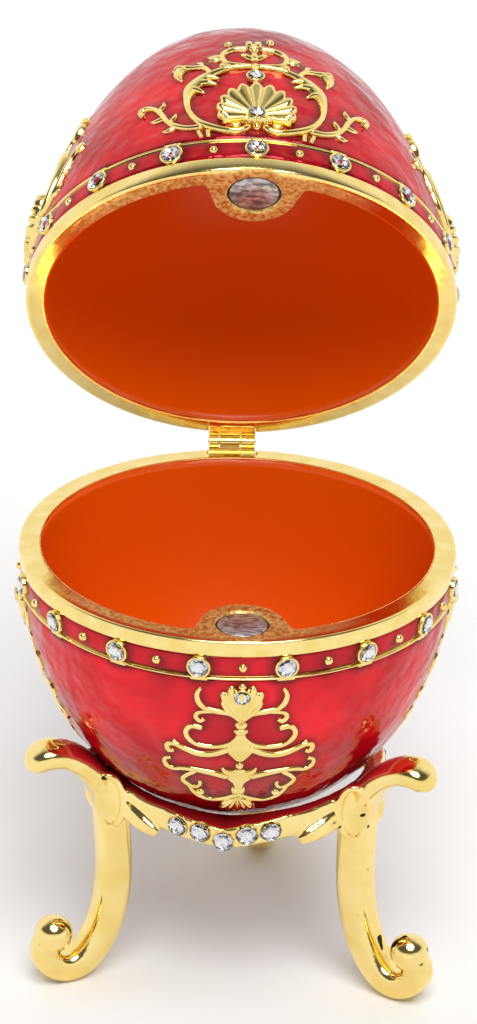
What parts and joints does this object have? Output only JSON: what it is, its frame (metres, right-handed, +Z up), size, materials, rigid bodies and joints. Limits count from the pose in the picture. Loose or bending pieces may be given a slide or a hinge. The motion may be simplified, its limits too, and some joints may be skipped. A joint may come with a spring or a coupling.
{
  "type": "jewelled egg trinket box",
  "caption": "Egg-shaped trinket box in red enamel and gold plate with crystal trim, hinged lid standing open, on a cast tripod stand with scrolled feet.",
  "frame": {"origin": "on the table, under the middle of the open box's outline", "axes": "+Z up, the front of the egg towards -Y, the hinge at the back"},
  "size_m": [0.0544, 0.0766, 0.108],
  "materials": {
    "red_enamel": "glossy translucent enamel over cast metal",
    "gold_plate": "polished gold plate over zinc alloy",
    "crystal": "clear foil-backed cut glass",
    "magnet_steel": "scratched nickel-plated magnet",
    "interior_paint": "satin orange paint"
  },
  "bodies": {
    "base": {"stand": "gold_plate", "bowl": "red_enamel", "bowl_magnet": "magnet_steel", "bowl_hinge_leaf": "gold_plate", "hinge_pin": "gold_plate", "bowl_band_stone_1": "crystal", "bowl_band_stone_2": "crystal", "bowl_band_stone_3": "crystal", "bowl_band_stone_4": "crystal", "bowl_band_stone_5": "crystal", "bowl_band_stone_6": "crystal", "bowl_band_stone_7": "crystal", "bowl_band_stone_8": "crystal", "bowl_band_stone_9": "crystal", "bowl_band_stone_10": "crystal", "bowl_band_stone_11": "crystal", "bowl_band_stone_12": "crystal", "bowl_band_stone_13": "crystal", "bowl_band_stone_14": "crystal", "bowl_band_stone_15": "crystal", "bowl_band_stone_16": "crystal", "bowl_motif_stone_1a": "crystal", "bowl_motif_stone_2a": "crystal", "bowl_motif_stone_3a": "crystal", "bowl_motif_stone_4a": "crystal"},
    "lid": {"lid": "red_enamel", "lid_magnet": "magnet_steel", "lid_hinge_leaf": "gold_plate", "lid_band_stone_1": "crystal", "lid_band_stone_2": "crystal", "lid_band_stone_3": "crystal", "lid_band_stone_4": "crystal", "lid_band_stone_5": "crystal", "lid_band_stone_6": "crystal", "lid_band_stone_7": "crystal", "lid_band_stone_8": "crystal", "lid_band_stone_9": "crystal", "lid_band_stone_10": "crystal", "lid_band_stone_11": "crystal", "lid_band_stone_12": "crystal", "lid_band_stone_13": "crystal", "lid_band_stone_14": "crystal", "lid_band_stone_15": "crystal", "lid_band_stone_16": "crystal", "lid_motif_stone_1a": "crystal", "lid_motif_stone_1b": "crystal", "lid_motif_stone_2a": "crystal", "lid_motif_stone_2b": "crystal", "lid_motif_stone_3a": "crystal", "lid_motif_stone_3b": "crystal", "lid_motif_stone_4a": "crystal", "lid_motif_stone_4b": "crystal"}
  },
  "joints": [
    {"name": "lid_hinge", "type": "hinge", "parent": "base", "child": "lid", "pos_m": [-0.00002, 0.01642, 0.0548], "axis": [0.9996, -0.0209, -0.0209], "range_deg": [0, 61]}
  ]
}
